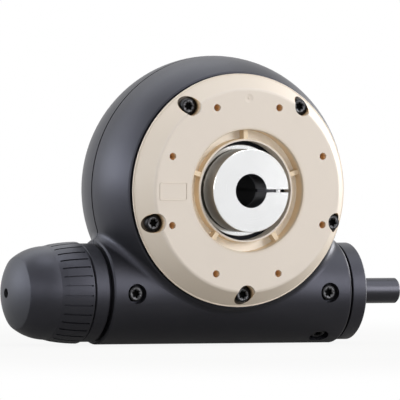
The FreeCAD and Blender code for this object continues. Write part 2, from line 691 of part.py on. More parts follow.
def knob_profile(inset):
    """The knob's outside as a solid of revolution, drawn in by an inset."""
    def at(x, radius):
        return V(x, WORM_Y, WORM_Z + radius - inset)

    height = KNOB_SHOULDER_X - KNOB_APEX_X
    dome_r = (KNOB_SHOULDER_R ** 2 + height ** 2) / (2 * height)
    half_r = KNOB_SHOULDER_R / 2
    dome = at(KNOB_APEX_X + dome_r - math.sqrt(dome_r ** 2 - half_r ** 2), half_r)
    rim = at(KNOB_RIM_X, KNOB_RIM_R)
    grip_end, step_end = at(*KNOB_GRIP_END), at(*KNOB_STEP_END)
    shoulder = at(KNOB_SHOULDER_X, KNOB_SHOULDER_R)
    apex = V(KNOB_APEX_X, WORM_Y, WORM_Z)
    back = V(KNOB_RIM_X, WORM_Y, WORM_Z)
    outline = Part.Wire([
        Part.makeLine(back, rim), Part.Arc(rim, at(*KNOB_GRIP_MID), grip_end).toShape(),
        Part.makeLine(grip_end, step_end), Part.Arc(step_end, at(*KNOB_FLANK_MID), shoulder).toShape(),
        Part.Arc(shoulder, dome, apex).toShape(), Part.makeLine(apex, back),
    ])
    return Part.Face(outline).revolve(V(0, WORM_Y, WORM_Z), V(1, 0, 0), 360)


def grip_knob():
    body = knob_profile(0.0)
    body = body.makeFillet(KNOB_SHOULDER_EDGE_R, circles(body, KNOB_SHOULDER_R, "X", KNOB_SHOULDER_X))
    body = body.makeFillet(KNOB_RIM_EDGE_R, circles(body, KNOB_RIM_R, "X", KNOB_RIM_X))
    skin = knob_profile(0.0).cut(knob_profile(KNOB_GROOVE_DEPTH))
    length = KNOB_GROOVE_START - KNOB_GROOVE_END
    blades = []
    for i in range(KNOB_GROOVES):
        blade = Part.makeBox(length, KNOB_GROOVE_WIDTH, 10,
                             V(KNOB_GROOVE_END, WORM_Y - KNOB_GROOVE_WIDTH / 2, WORM_Z + 18))
        blades.append(about_worm(blade, 360.0 / KNOB_GROOVES * (i + KNOB_GROOVE_PHASE)))
    grooves = skin.common(Part.makeCompound(blades))
    cup = along_x(KNOB_CUP_R, KNOB_RIM_X + 1, KNOB_CUP_X).cut(along_x(KNOB_BOSS_R, 0, -130))
    bore = along_x(SHAFT_R, KNOB_RIM_X + 1, SHAFT_LEFT_END).cut(knob_flat())
    hole = along_x(KNOB_HOLE_R, SHAFT_LEFT_END + 1, KNOB_APEX_X - 1)
    return one_solid(body.cut([grooves, cup, bore, hole]))


PIECES = {
    "front_housing": front_housing,
    "rear_housing": rear_housing,
    "housing_screws": housing_screws,
    "bearing_flange": bearing_flange,
    "flange_screws": flange_screws,
    "rear_bearing_bush": rear_bearing_bush,
    "worm_wheel": worm_wheel,
    "output_hub": output_hub,
    "hub_screws": hub_screws,
    "clamp_screw": clamp_screw,
    "worm_shaft": worm_shaft,
    "left_thrust_washer": lambda: thrust_washer(-1),
    "right_thrust_washer": lambda: thrust_washer(1),
    "left_worm_bush": lambda: worm_bush(-1),
    "right_worm_bush": lambda: worm_bush(1),
    "left_bearing_carrier": lambda: bearing_carrier(
        -1, TUBE_LEFT, LEFT_RING_START, LEFT_RING_END, LEFT_RING_R, (0,)),
    "right_bearing_carrier": lambda: bearing_carrier(
        1, TUBE_RIGHT, RIGHT_RING_START, RIGHT_RING_END, RIGHT_RING_R, (0, LOWER_SCREW_ANGLE)),
    "left_carrier_screw": lambda: carrier_screw(-CARRIER_SCREW_X, 0),
    "right_carrier_screws": lambda: Part.makeCompound(
        [carrier_screw(CARRIER_SCREW_X, angle) for angle in (0, LOWER_SCREW_ANGLE)]),
    "grip_knob": grip_knob,
}

os.makedirs("parts", exist_ok=True)
for name, make in PIECES.items():
    make().exportStep(os.path.join("parts", name + ".step"))
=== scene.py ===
"""Looks of a worm gear reducer: moulded, turned and anodised finishes, six-lobe screws, a bare badge
frame and a pale studio.

Metres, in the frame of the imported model: +X along the worm to the shaft stub, +Y into the housing
along the output axis, +Z up.
"""

import json
import math
from collections import namedtuple

import bmesh
import bpy
import numpy as np
from mathutils import Matrix, Vector


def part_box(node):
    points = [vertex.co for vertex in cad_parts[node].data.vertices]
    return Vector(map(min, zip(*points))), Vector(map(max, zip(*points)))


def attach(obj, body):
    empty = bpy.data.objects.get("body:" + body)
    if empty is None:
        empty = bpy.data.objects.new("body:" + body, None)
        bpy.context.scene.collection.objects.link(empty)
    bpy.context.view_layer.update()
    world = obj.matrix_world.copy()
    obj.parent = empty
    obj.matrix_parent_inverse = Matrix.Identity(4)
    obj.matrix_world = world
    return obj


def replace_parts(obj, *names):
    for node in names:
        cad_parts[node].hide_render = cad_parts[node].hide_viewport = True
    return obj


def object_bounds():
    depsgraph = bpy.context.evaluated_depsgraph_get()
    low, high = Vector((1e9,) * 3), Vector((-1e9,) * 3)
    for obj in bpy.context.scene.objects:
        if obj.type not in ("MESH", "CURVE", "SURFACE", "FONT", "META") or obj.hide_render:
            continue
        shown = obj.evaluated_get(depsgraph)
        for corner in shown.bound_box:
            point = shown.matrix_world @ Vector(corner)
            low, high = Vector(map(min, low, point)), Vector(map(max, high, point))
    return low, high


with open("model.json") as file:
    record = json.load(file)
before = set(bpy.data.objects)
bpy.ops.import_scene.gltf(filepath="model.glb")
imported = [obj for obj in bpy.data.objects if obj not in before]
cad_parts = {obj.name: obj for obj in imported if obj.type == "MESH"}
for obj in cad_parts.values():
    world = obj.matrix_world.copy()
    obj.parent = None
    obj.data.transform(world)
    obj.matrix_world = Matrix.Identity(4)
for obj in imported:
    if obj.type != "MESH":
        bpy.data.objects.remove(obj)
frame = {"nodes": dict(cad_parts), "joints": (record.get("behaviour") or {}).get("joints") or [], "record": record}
CAD_LOW, CAD_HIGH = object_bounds()

bl_info = {
    "name": "Worm Gear Reducer",
    "version": (1, 0, 0),
    "blender": (4, 5, 0),
    "location": "View3D > Sidebar > Reducer",
    "description": "Dresses the packed gear reducer with its finishes, screws and studio",
    "category": "Object",
}

MM = 0.001
PICTURE_SIDE = 400

# Axes and sizes read from the frame
WORM_JOINT = next(j for j in frame["joints"] if j["name"] == "worm_turn")
WORM_AXIS = Vector(WORM_JOINT["pos_m"])
MOUNTS = {mount["name"]: mount for mount in frame["record"]["mounts"]}
HOLE_RING_R = MOUNTS["flange_bolts"]["dims"]["pcd_mm"] / 2 * MM
HOLE_R = MOUNTS["flange_bolts"]["dims"]["hole_r_mm"] * MM
HOLES = MOUNTS["flange_bolts"]["dims"]["count"]
BORE_R = MOUNTS["output_bore"]["dims"]["r_mm"] * MM


# Settings that a user would change

class ScrewSizes(bpy.types.PropertyGroup):
    """Sizes of the cap screws' heads; lengths and places come from the frame."""

    head_height: bpy.props.FloatProperty(
        name="Head height", description="From the seat to the top of the head",
        default=3.0 * MM, unit="LENGTH")
    edge: bpy.props.FloatProperty(
        name="Head edge", description="Rounding round the top of the head",
        default=0.6 * MM, unit="LENGTH")
    recess_r: bpy.props.FloatProperty(
        name="Recess radius", description="Mean radius of the six-lobe recess",
        default=1.62 * MM, unit="LENGTH")
    lobe: bpy.props.FloatProperty(
        name="Lobe depth", description="How far each lobe stands out from the mean radius",
        default=0.27 * MM, unit="LENGTH")
    recess_depth: bpy.props.FloatProperty(
        name="Recess depth", description="Depth of the recess below the top of the head",
        default=1.7 * MM, unit="LENGTH")
    countersink: bpy.props.FloatProperty(
        name="Countersink", description="Width of the bevel round the recess",
        default=0.3 * MM, unit="LENGTH")


class BadgeSizes(bpy.types.PropertyGroup):
    """The bare moulded frame on the flange's face."""

    x: bpy.props.FloatProperty(
        name="X", description="Middle of the frame along the worm", default=-38.3 * MM, unit="LENGTH")
    z: bpy.props.FloatProperty(
        name="Z", description="Middle of the frame above the output axis", default=-0.2 * MM, unit="LENGTH")
    width: bpy.props.FloatProperty(
        name="Width", description="Outer width", default=14.4 * MM, unit="LENGTH")
    height: bpy.props.FloatProperty(
        name="Height", description="Outer height", default=8.6 * MM, unit="LENGTH")
    corner: bpy.props.FloatProperty(
        name="Corner radius", description="Outer corner radius", default=0.9 * MM, unit="LENGTH")
    line: bpy.props.FloatProperty(
        name="Line width", description="Width of the raised line", default=0.6 * MM, unit="LENGTH")
    relief: bpy.props.FloatProperty(
        name="Relief", description="Height of the line above the face", default=0.3 * MM, unit="LENGTH")


class FinishColours(bpy.types.PropertyGroup):
    """Base colours of the finishes."""

    housing: bpy.props.FloatVectorProperty(
        name="Housing", description="Satin black moulding", subtype="COLOR", size=3,
        default=(0.005, 0.005, 0.006))
    knob: bpy.props.FloatVectorProperty(
        name="Knob", description="Black moulding of the grip knob", subtype="COLOR", size=3,
        default=(0.005, 0.005, 0.006))
    cream: bpy.props.FloatVectorProperty(
        name="Cream", description="Bearing polymer of the flange and bushes", subtype="COLOR", size=3,
        default=(0.715, 0.642, 0.573))
    # Painted honey coloured shade of the polymer on the groove's walls
    honey_painted_shade: bpy.props.FloatVectorProperty(
        name="Honey", description="Bearing polymer on the groove's walls", subtype="COLOR", size=3,
        default=(0.82, 0.665, 0.475))
    # Painted amber shade deep in the flange's holes and pockets
    amber_painted_shade: bpy.props.FloatVectorProperty(
        name="Amber", description="Bearing polymer deep in holes and pockets", subtype="COLOR", size=3,
        default=(0.96, 0.65, 0.34))
    aluminium: bpy.props.FloatVectorProperty(
        name="Aluminium", description="Turned metal of the hub", subtype="COLOR", size=3,
        default=(0.81, 0.815, 0.82))
    anodised: bpy.props.FloatVectorProperty(
        name="Anodised", description="Dark hard-anodised shaft", subtype="COLOR", size=3,
        default=(0.050, 0.050, 0.059))
    blackened: bpy.props.FloatVectorProperty(
        name="Blackened steel", description="Screws", subtype="COLOR", size=3,
        default=(0.0115, 0.0115, 0.0125))
    # Painted highlight on the flat ring of each screw's head
    painted_ring_highlight: bpy.props.FloatVectorProperty(
        name="Painted ring highlight", description="The flat ring of each screw's head", subtype="COLOR", size=3,
        default=(0.098, 0.098, 0.104))
    steel: bpy.props.FloatVectorProperty(
        name="Bright steel", description="Clamp screw and washers", subtype="COLOR", size=3,
        default=(0.58, 0.58, 0.59))


class StudioSettings(bpy.types.PropertyGroup):
    """Camera and light."""

    yaw: bpy.props.FloatProperty(
        name="Yaw", description="Camera's turn round the object from straight in front",
        default=math.radians(-25.353), subtype="ANGLE")
    elevation: bpy.props.FloatProperty(
        name="Elevation", description="Camera's height angle", default=math.radians(1.151), subtype="ANGLE")
    roll: bpy.props.FloatProperty(
        name="Roll", description="Camera's turn about its own line of sight",
        default=math.radians(0.419), subtype="ANGLE")
    distance: bpy.props.FloatProperty(
        name="Distance", description="From the flange's centre to the camera", default=4.5, unit="LENGTH")
    pixels_per_mm: bpy.props.FloatProperty(
        name="Scale", description="Pixels of the picture for a millimetre at the flange", default=2.139)
    axis_px: bpy.props.FloatVectorProperty(
        name="Flange centre", description="Where the flange's centre falls in the picture, in pixels",
        size=2, default=(248.0, 190.75))
    light: bpy.props.FloatProperty(
        name="Light", description="Strength of all the lamps together", default=0.84, min=0.0)
    ambient: bpy.props.FloatProperty(
        name="Ambient", description="Light from the studio's walls on the object", default=0.0, min=0.0)


# Node trees

class Value:
    """A node's output that can stand in Python sums: each operator adds one Math node."""

    def __init__(self, tree, socket):
        self.tree = tree
        self.socket = socket

    def __add__(self, other):
        return self.tree.math("ADD", self, other)

    def __radd__(self, other):
        return self.tree.math("ADD", other, self)

    def __sub__(self, other):
        return self.tree.math("SUBTRACT", self, other)

    def __rsub__(self, other):
        return self.tree.math("SUBTRACT", other, self)

    def __mul__(self, other):
        return self.tree.math("MULTIPLY", self, other)

    def __rmul__(self, other):
        return self.tree.math("MULTIPLY", other, self)

    def __truediv__(self, other):
        return self.tree.math("DIVIDE", self, other)


# Sockets of a colour mix and of a random number, by place because their names repeat
MIX_FACTOR, MIX_FIRST, MIX_SECOND, MIX_RESULT = 0, 6, 7, 2
RANDOM_LEAST, RANDOM_MOST, RANDOM_RESULT = 2, 3, 1

NOISE_ROUGHNESS = 0.55


class Tree:
    """A node tree under construction, for a finish or for geometry."""

    def __init__(self, tree):
        self.tree = tree

    def put(self, socket, value):
        """Links a value to a socket, or sets the socket to a plain number, colour or name."""
        if isinstance(value, Value):
            self.tree.links.new(value.socket, socket)
        elif socket.type == "RGBA":
            socket.default_value = (*value, 1.0)
        else:
            socket.default_value = value

    def add(self, kind, settings=None, inputs=None, output=0):
        """A node of a type, with its settings made first, then its inputs; gives one output.

        The setting "items" is the number of items in an index switch.
        """
        node = self.tree.nodes.new(kind)
        for name, value in (settings or {}).items():
            if name == "items":
                for _ in range(value - len(node.index_switch_items)):
                    node.index_switch_items.new()
            else:
                setattr(node, name, value)
        for name, value in (inputs or {}).items():
            self.put(node.inputs[name], value)
        return Value(self, node.outputs[output])

    def math(self, operation, *values):
        """The result of a Math node."""
        return self.add("ShaderNodeMath", {"operation": operation}, dict(enumerate(values)))

    def parts(self, vector):
        """The x, y and z of a vector as values."""
        split = self.add("ShaderNodeSeparateXYZ", None, {0: vector})
        outputs = split.socket.node.outputs
        return [Value(self, outputs[i]) for i in range(3)]

    def step(self, value, low, high):
        """0 below low, 1 above high, smooth between."""
        return self.add("ShaderNodeMapRange", {"interpolation_type": "SMOOTHSTEP"}, {
            "Value": value, "From Min": low, "From Max": high, "To Min": 0.0, "To Max": 1.0})

    def band(self, value, rise, fall):
        """0 below the two ends of a rise, 1 between it and a fall, 0 above the two ends of the fall."""
        return self.step(value, *rise) * (1 - self.step(value, *fall))

    def length(self, a, b):
        """The length of the flat vector (a, b)."""
        return self.math("SQRT", a * a + b * b)

    def mixed(self, factor, first, second):
        """A colour between two."""
        return self.add("ShaderNodeMix", {"data_type": "RGBA"}, {
            MIX_FACTOR: factor, MIX_FIRST: first, MIX_SECOND: second}, MIX_RESULT)

    def noise(self, place, grain, detail=2.0):
        """Noise whose features are about a grain across, in metres."""
        return self.add("ShaderNodeTexNoise", None, {
            "Vector": place, "Scale": 1.0 / grain, "Detail": detail, "Roughness": NOISE_ROUGHNESS})


class Finish(Tree):
    """A material: a Principled shader and the nodes that feed it."""

    def __init__(self, name):
        self.material = bpy.data.materials.new(name)
        self.material.use_nodes = True
        super().__init__(self.material.node_tree)
        self.shader = self.tree.nodes["Principled BSDF"]
        self.place = self.add("ShaderNodeTexCoord", output="Object")
        self.x, self.y, self.z = self.parts(self.place)

    def set(self, **sockets):
        """Sets or links the shader's sockets; underscores stand for the spaces in their names."""
        for name, value in sockets.items():
            self.put(self.shader.inputs[name.replace("_", " ")], value)

    def bump(self, height, depth, strength):
        """Raises the surface by a height times a depth in metres."""
        normal = self.add("ShaderNodeBump", None, {
            "Strength": strength, "Distance": depth, "Height": height})
        self.set(Normal=normal)

    def around(self, middle, *swings):
        """A middle value that swings with noises of 0 to 1, given as pairs of a noise and its full swing."""
        for noise, swing in swings:
            middle = middle + swing * (noise - 0.5)
        return middle

    def ring_radius(self):
        """Distance from the output axis."""
        return self.length(self.x, self.z)

    def worm_radius(self):
        """Distance from the worm axis."""
        return self.length(self.y - WORM_AXIS.y, self.z - WORM_AXIS.z)

    def near_ring_places(self, count, ring_r, first_angle):
        """Distance from the nearest of equal places on a circle about the output axis."""
        step = 2 * math.pi / count
        angle = self.math("ARCTAN2", self.z, self.x) - first_angle
        turn = self.math("WRAP", angle, step / 2, -step / 2)
        radius = self.ring_radius()
        return self.length(radius * self.math("COSINE", turn) - ring_r, radius * self.math("SINE", turn))


def toned(colour, share, lift=0.0):
    """A colour multiplied by a share, or by one share for each channel, and lifted."""
    shares = share if isinstance(share, tuple) else (share, share, share)
    return tuple(min(1.0, part * channel + lift) for part, channel in zip(shares, colour))


def dress(material, *nodes):
    """Gives CAD nodes a material in place of their plain one."""
    for node in nodes:
        slots = frame["nodes"][node].data.materials
        slots.clear()
        slots.append(material)


# Painted shade: near black painted into narrow gaps and recesses where shade falls
PAINTED_SHADE_BLACK = (0.001, 0.001, 0.001)

# Black mouldings: grain and drift of the tone, their shares in tone and gloss, and the sheen
MOULD_GRAIN = 0.35 * MM
MOULD_DEPTH = 0.02 * MM
MOULD_BUMP = 0.7
MOULD_DRIFT = 22 * MM
MOULD_PALER = 1.35
MOULD_LIFT = 0.002
DRIFT_IN_TONE = 0.6
GRAIN_IN_TONE = 0.4
DRIFT_IN_GLOSS = 0.10
GRAIN_IN_GLOSS = 0.08
MOULD_SHEEN = 0.5
COOL_SHEEN = (0.80, 0.81, 1.0)

# Parting seam of the shells, painted with shade: half widths of core and whole, its depth, and how much duller it
# is
SEAM_CORE = 0.1 * MM
SEAM_HALF = 0.5 * MM
SEAM_DEPTH = 0.3 * MM
SEAM_DULL = 0.4

# End of the grip knob: where it starts, half its blend, its painted lighter tone, and how much duller it is
KNOB_END_X = -101.3 * MM
END_BLEND = 0.3 * MM
END_PAINTED_LIGHT = (0.024, 0.025, 0.027)
END_DULL = 0.1


def black_moulding(name, colour, roughness, grain=MOULD_GRAIN, sheen=MOULD_SHEEN, seam_y=None, end_x=None):
    """Black moulded plastic: a fine eroded grain, a slow drift in tone and gloss, a parting seam at a
    depth with painted shade in its groove, and a duller end face to the left of a place, painted
    paler to stand in for light on it."""
    finish = Finish(name)
    drift = finish.noise(finish.place, MOULD_DRIFT, detail=3.0)
    speckle = finish.noise(finish.place, grain)
    pale = DRIFT_IN_TONE * drift + GRAIN_IN_TONE * speckle
    tone = finish.mixed(pale, colour, toned(colour, MOULD_PALER, MOULD_LIFT))
    gloss = finish.around(roughness, (drift, DRIFT_IN_GLOSS), (speckle, GRAIN_IN_GLOSS))
    height = MOULD_DEPTH * speckle
    if seam_y is not None:
        # Painted shade: the seam is darkened as the shade in its groove; the groove itself is a real dip in the
        # bump
        seam = 1 - finish.step(finish.math("ABSOLUTE", finish.y - seam_y), SEAM_CORE, SEAM_HALF)
        tone = finish.mixed(seam, tone, PAINTED_SHADE_BLACK)
        gloss = gloss + SEAM_DULL * seam
        height = height - SEAM_DEPTH * seam
    # Painted light: the knob's end face is painted paler to stand in for light on it, and made rougher
    if end_x is not None:
        end = 1 - finish.step(finish.x, end_x - END_BLEND, end_x + END_BLEND)
        tone = finish.mixed(end, tone, END_PAINTED_LIGHT)
        gloss = gloss + END_DULL * end
    finish.set(Base_Color=tone, Roughness=gloss, Specular_IOR_Level=sheen, Specular_Tint=COOL_SHEEN)
    finish.bump(height, 1.0, MOULD_BUMP)
    return finish.material


# Cream polymer of the flange: grain and drift of the tone, gloss and sheen
CREAM_GRAIN = 0.5 * MM
CREAM_DEPTH = 0.02 * MM
CREAM_BUMP = 0.5
CREAM_DRIFT = 14 * MM
CREAM_PALER = 1.05
CREAM_ROUGHNESS = 0.5
CREAM_DRIFT_GLOSS = 0.1
CREAM_GRAIN_GLOSS = 0.06
CREAM_SHEEN = 0.35

# Sloping rim of the flange: radii and depths between which it sets in, and its painted warm shade as shares of the
# cream's
RIM_RADII = (45.0 * MM, 45.8 * MM)
RIM_DEPTHS = (0.1 * MM, 1.5 * MM)
RIM_PAINTED_SHADE = (1.0, 0.98, 0.94)

# Lip of the flange's groove: radii between which it sets in and fades, and its painted shade as shares of the
# cream's
LIP_RISE = (28.4 * MM, 28.6 * MM)
LIP_FALL = (28.6 * MM, 30.2 * MM)
LIP_PAINTED_SHADE = (0.93, 0.895, 0.83)

# Groove round the collar: its inner and outer edge, the depths of its walls and floor, and the floor's tone
# painted paler as painted light
GROOVE_INNER = (23.8 * MM, 24.4 * MM)
GROOVE_OUTER = (28.8 * MM, 29.2 * MM)
GROOVE_WALL_DEPTHS = (0.1 * MM, 3.0 * MM)
GROOVE_FLOOR_DEPTHS = (7.0 * MM, 7.5 * MM)
GROOVE_FLOOR_PAINTED_LIGHT = (0.98, 0.93, 0.85)

# Small holes of the flange: the blend round each, the depths of the painted amber shade and its share
HOLE_BLEND = 0.3 * MM
HOLE_DEPTHS = (0.15 * MM, 2.5 * MM)
HOLE_PAINTED_SHADE = 0.95

# Screw pockets of the flange: how many, their circle and edge, the painted amber shade's depths and share, and the
# depths and painted shade of their seats
POCKETS = 5
POCKET_RING_R = 48.75 * MM
POCKET_EDGE = (4.55 * MM, 4.8 * MM)
POCKET_DEPTHS = (0.4 * MM, 4.5 * MM)
POCKET_PAINTED_SHADE = 0.8
SEAT_DEPTHS = (2.4 * MM, 6.5 * MM)
SEAT_PAINTED_SHADE = (0.034, 0.023, 0.014)


def cream_moulding(name, colours):
    """Cream bearing polymer: mottled, with painted warm shade on its rim and on its groove's lip, painted
    honey coloured shade on the groove's walls and a painted paler floor there, painted amber shade in its holes,
    and painted brown to black shade in its screw pockets."""
    finish = Finish(name)
    drift = finish.noise(finish.place, CREAM_DRIFT, detail=3.0)
    speckle = finish.noise(finish.place, CREAM_GRAIN)
    radius = finish.ring_radius()
    body = finish.mixed(drift, colours.cream, toned(colours.cream, CREAM_PALER))

    # The sloping rim, with painted warm shade
    rim = finish.step(radius, *RIM_RADII) * finish.step(finish.y, *RIM_DEPTHS)
    body = finish.mixed(rim, body, toned(colours.cream, RIM_PAINTED_SHADE))

    # The groove round the collar: painted shade on its lip, painted honey shade on its walls, and its floor
    # painted paler as painted light
    # Painted shade round the groove's edge, standing in for the shade of a rounded edge
    lip = finish.band(radius, LIP_RISE, LIP_FALL)
    body = finish.mixed(lip, body, toned(colours.cream, LIP_PAINTED_SHADE))
    groove = finish.band(radius, GROOVE_INNER, GROOVE_OUTER)
    body = finish.mixed(groove * finish.step(finish.y, *GROOVE_WALL_DEPTHS), body, colours.honey_painted_shade)
    body = finish.mixed(groove * finish.step(finish.y, *GROOVE_FLOOR_DEPTHS), body, GROOVE_FLOOR_PAINTED_LIGHT)

    # The small holes, with painted amber shade deep in them
    from_hole = finish.near_ring_places(HOLES, HOLE_RING_R, math.pi / HOLES)
    hole = 1 - finish.step(from_hole, HOLE_R, HOLE_R + HOLE_BLEND)
    body = finish.mixed(HOLE_PAINTED_SHADE * hole * finish.step(finish.y, *HOLE_DEPTHS), body, colours.amber_painted_shade)

    # The screw pockets and their seats, with painted amber, then brown to black shade by depth
    from_pocket = finish.near_ring_places(POCKETS, POCKET_RING_R, -math.pi / 2)
    pocket = 1 - finish.step(from_pocket, *POCKET_EDGE)
    body = finish.mixed(POCKET_PAINTED_SHADE * pocket * finish.step(finish.y, *POCKET_DEPTHS), body, colours.amber_painted_shade)
    body = finish.mixed(pocket * finish.step(finish.y, *SEAT_DEPTHS), body, SEAT_PAINTED_SHADE)
    gloss = finish.around(CREAM_ROUGHNESS, (drift, CREAM_DRIFT_GLOSS), (speckle, CREAM_GRAIN_GLOSS))
    finish.set(Base_Color=body, Roughness=gloss, Specular_IOR_Level=CREAM_SHEEN)
    finish.bump(speckle, CREAM_DEPTH, CREAM_BUMP)
    return finish.material


# Turned polymer of the bushes: the cutter's pitch and depth, the drift of the tone, and gloss
BUSH_PITCH = 0.25 * MM
BUSH_DEPTH = 0.012 * MM
BUSH_BUMP = 0.5
BUSH_DRIFT = 9 * MM
BUSH_DEEPER = 0.86
BUSH_ROUGHNESS = 0.48
BUSH_RING_GLOSS = 0.06
BUSH_DRIFT_GLOSS = 0.1


def turned_polymer(name, colour):
    """Polymer turned on a lathe: fine rings about the output axis."""
    finish = Finish(name)
    rings = finish.math("SINE", (finish.ring_radius() + finish.y) * (2 * math.pi / BUSH_PITCH))
    drift = finish.noise(finish.place, BUSH_DRIFT)
    finish.set(
        Base_Color=finish.mixed(drift, colour, toned(colour, BUSH_DEEPER)),
        Roughness=finish.around(BUSH_ROUGHNESS + BUSH_RING_GLOSS * rings, (drift, BUSH_DRIFT_GLOSS)))
    finish.bump(0.5 + 0.5 * rings, BUSH_DEPTH, BUSH_BUMP)
    return finish.material


# Turned metals: pitches to an uneven cut, depth and rise of rings and cuts, the drift of the tone, and gloss
CUT_PITCHES = 4
TURN_DEPTH = 0.004 * MM
TURN_BUMP = 0.2
RING_RISE = 0.35
CUT_RISE = 0.3
TURN_DRIFT = 12 * MM
TURN_DARKER = 0.88
TURN_DRIFT_GLOSS = 0.05
CUT_GLOSS = 0.08


def turned_metal(name, colour, roughness, axis_radius, along, pitch, cut_gloss=CUT_GLOSS, zones=None):
    """Metal turned on a lathe: fine rings about an axis, uneven in gloss from cut to cut, and with painted
    shade or reflection and other gloss in its zones."""
    finish = Finish(name)
    track = axis_radius(finish) + getattr(finish, along)
    rings = finish.math("SINE", track * (2 * math.pi / pitch))
    cuts = finish.add("ShaderNodeTexNoise", {"noise_dimensions": "1D"}, {
        "W": track, "Scale": 1.0 / (CUT_PITCHES * pitch), "Detail": 3.0})
    drift = finish.noise(finish.place, TURN_DRIFT)
    metal = finish.mixed(cuts, colour, toned(colour, TURN_DARKER))
    gloss = finish.around(roughness, (cuts, cut_gloss), (drift, TURN_DRIFT_GLOSS))
    shine = 1.0
    if zones is not None:
        # Painted zones: painted shade or reflection put into the metal's colour
        for mask, shade, rougher, dull in zones(finish):
            metal = finish.mixed(mask, metal, shade)
            gloss = gloss + rougher * mask
            shine = shine - dull * mask
    finish.set(Base_Color=metal, Metallic=shine, Roughness=gloss, Specular_IOR_Level=0.0)
    finish.bump(0.5 + RING_RISE * rings + CUT_RISE * cuts, TURN_DEPTH, TURN_BUMP)
    return finish.material


# Clamp hub: half the slit's width, the nose's radius, the neck's start and end, and the blend of an edge
SLIT_HALF = 0.77 * MM
NOSE_R = 19.5 * MM
NECK_Y = 7.3 * MM
NECK_END_Y = 8.7 * MM
HAIR = 0.03 * MM

# Painted zones of the hub: the painted shade or reflection of each, how much rougher and how much less metallic it
# is
NOSE_PAINTED_REFLECTION = ((0.475, 0.44, 0.385), 0.3, 0.0)
GAP_PAINTED_SHADE = ((0.23, 0.23, 0.25), 0.25, 0.0)
DEPTH_PAINTED_SHADE = ((0.045, 0.045, 0.048), 0.25, 0.95)


def hub_painted_zones(finish):
    """The hub's painted zones, as rows of where each is, its colour, how much rougher and how dull it is:
    a painted reflection of the shaded collar on the side of its nose, painted shade in its bore and slit,
    and painted shade in the depth behind its neck."""
    radius = finish.ring_radius()
    past_neck = finish.step(finish.y, NECK_END_Y, NECK_END_Y + 2 * HAIR)
    # Painted reflection of the shaded collar on the nose's side and neck
    side = finish.math("MAXIMUM", finish.step(radius, NOSE_R - 4 * HAIR, NOSE_R - 2 * HAIR),
                       finish.step(finish.y, NECK_Y, NECK_Y + 2 * HAIR)) * (1 - past_neck)
    # Painted shade in the bore and the slit
    bore = 1 - finish.step(radius, BORE_R + HAIR, BORE_R + 2 * HAIR)
    slit = 1 - finish.step(finish.math("ABSOLUTE", finish.z), SLIT_HALF, SLIT_HALF + HAIR)
    slit = slit * finish.step(finish.x, 0.0, HAIR)
    # Painted shade in the depth behind the neck, which is also less metallic
    deep = past_neck * (1 - finish.step(radius, 2 * BORE_R, 2 * BORE_R + HAIR))
    gaps = finish.math("MAXIMUM", bore, slit)
    return ((side, *NOSE_PAINTED_REFLECTION), (gaps, *GAP_PAINTED_SHADE), (deep, *DEPTH_PAINTED_SHADE))


# Blackened steel: grain of the mottle, gloss, where the ring's painted highlight lies, and the recess's painted
# shade
STEEL_GRAIN = 0.8 * MM
STEEL_DEPTH = 0.01 * MM
STEEL_BUMP = 0.3
STEEL_PALER = 1.6
STEEL_METAL = 0.9
STEEL_ROUGHNESS = 0.42
STEEL_GRAIN_GLOSS = 0.16
HIGHLIGHT_LEAST = 0.15
HIGHLIGHT_PATCHES = (0.42, 0.6)
HOLLOW_RIM = (-0.8, 0.0)
HOLLOW_DULL = 0.3


def blackened_steel(name, colour, painted_ring_highlight):
    """Blackened steel: dark and lightly mottled, with a painted highlight in patches on the flat ring of each
    head and painted black shade in the recess. The screws' own attribute "rim" tells ring and recess."""
    finish = Finish(name)
    mottle = finish.noise(finish.place, STEEL_GRAIN, detail=3.0)
    rim = finish.add("ShaderNodeAttribute", {"attribute_name": "rim"}, output="Fac")
    steel = finish.mixed(mottle, colour, toned(colour, STEEL_PALER))
    # Painted highlight on the flat ring, broken into patches
    highlight_share = rim * (HIGHLIGHT_LEAST + (1 - HIGHLIGHT_LEAST) * finish.step(mottle, *HIGHLIGHT_PATCHES))
    # Painted shade: the recess is painted black
    recess_shade = 1 - finish.step(rim, *HOLLOW_RIM)
    finish.set(
        Base_Color=finish.mixed(recess_shade, finish.mixed(highlight_share, steel, painted_ring_highlight), PAINTED_SHADE_BLACK),
        Metallic=STEEL_METAL,
        Roughness=finish.around(STEEL_ROUGHNESS, (mottle, STEEL_GRAIN_GLOSS)) + HOLLOW_DULL * recess_shade)
    finish.bump(mottle, STEEL_DEPTH, STEEL_BUMP)
    return finish.material


# Where the screws stand: points nearer than this are one, and the parts of a screw that tell head and shank
ONE_POINT = 0.001 * MM
HEAD_SHARE = 0.98
SHANK_SHARE = 0.4

ScrewMeasure = namedtuple("ScrewMeasure", "top axis length head_r shank_r")


def separate_solids(node):
    """The vertices of each separate solid in a CAD node, as one array of points per solid."""
    shell = bmesh.new()
    shell.from_mesh(frame["nodes"][node].data)
    bmesh.ops.remove_doubles(shell, verts=shell.verts, dist=ONE_POINT)
    reached = set()
    solids = []
    for start in shell.verts:
        if start in reached:
            continue
        reached.add(start)
        front = [start]
        found = []
        while front:
            vert = front.pop()
            found.append(tuple(vert.co))
            for edge in vert.link_edges:
                other = edge.other_vert(vert)
                if other not in reached:
                    reached.add(other)
                    front.append(other)
        solids.append(np.array(found))
    shell.free()
    return solids


